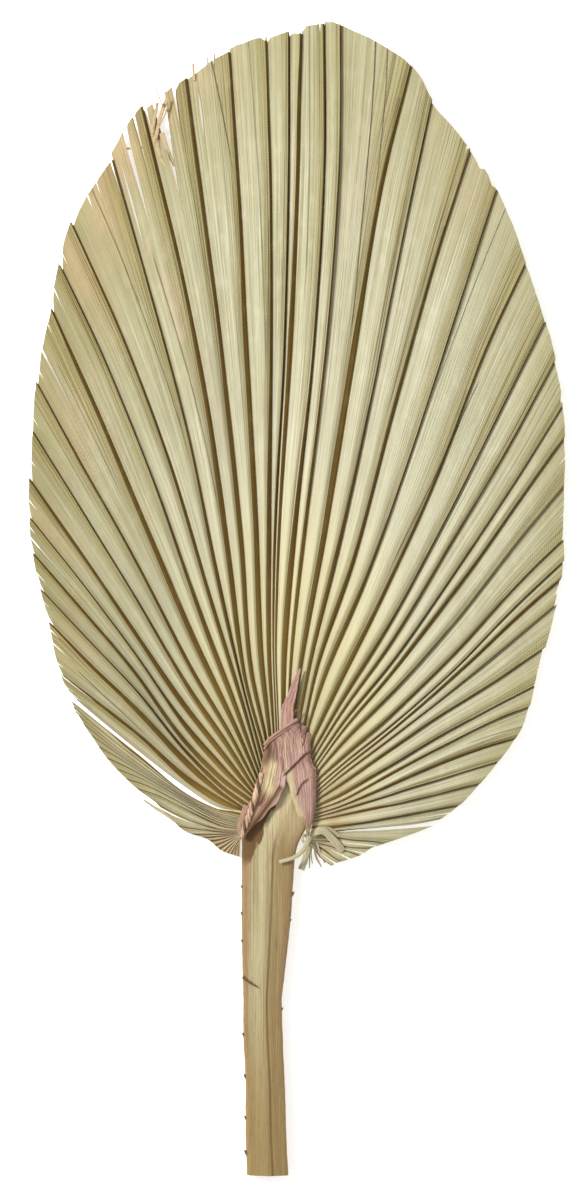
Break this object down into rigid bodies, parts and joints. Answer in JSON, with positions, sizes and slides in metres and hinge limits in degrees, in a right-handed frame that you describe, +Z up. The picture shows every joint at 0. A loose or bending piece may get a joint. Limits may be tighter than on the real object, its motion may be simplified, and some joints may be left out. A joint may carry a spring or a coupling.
{
  "type": "fan palm leaf",
  "caption": "Cut and dried fan palm leaf lying flat: an oval blade pleated from the joint to the trimmed rim, with a straight flattened stalk and a papery flap over the joint.",
  "frame": {"origin": "centre of the leaf's bounding box in plan, on the surface it lies on", "axes": "+Y along the leaf from the stalk's cut end to the blade's tip, +Z up from the surface, out of the leaf's upper side, +X to the leaf's right as seen from above with the tip away from the viewer"},
  "size_m": [0.2334, 0.5008, 0.012],
  "materials": {
    "blade_leaf": "matte",
    "stalk": "satin",
    "flap": "matte"
  },
  "bodies": {
    "root": {"blade": "blade_leaf", "petiole": "stalk", "hastula": "flap"}
  },
  "joints": []
}
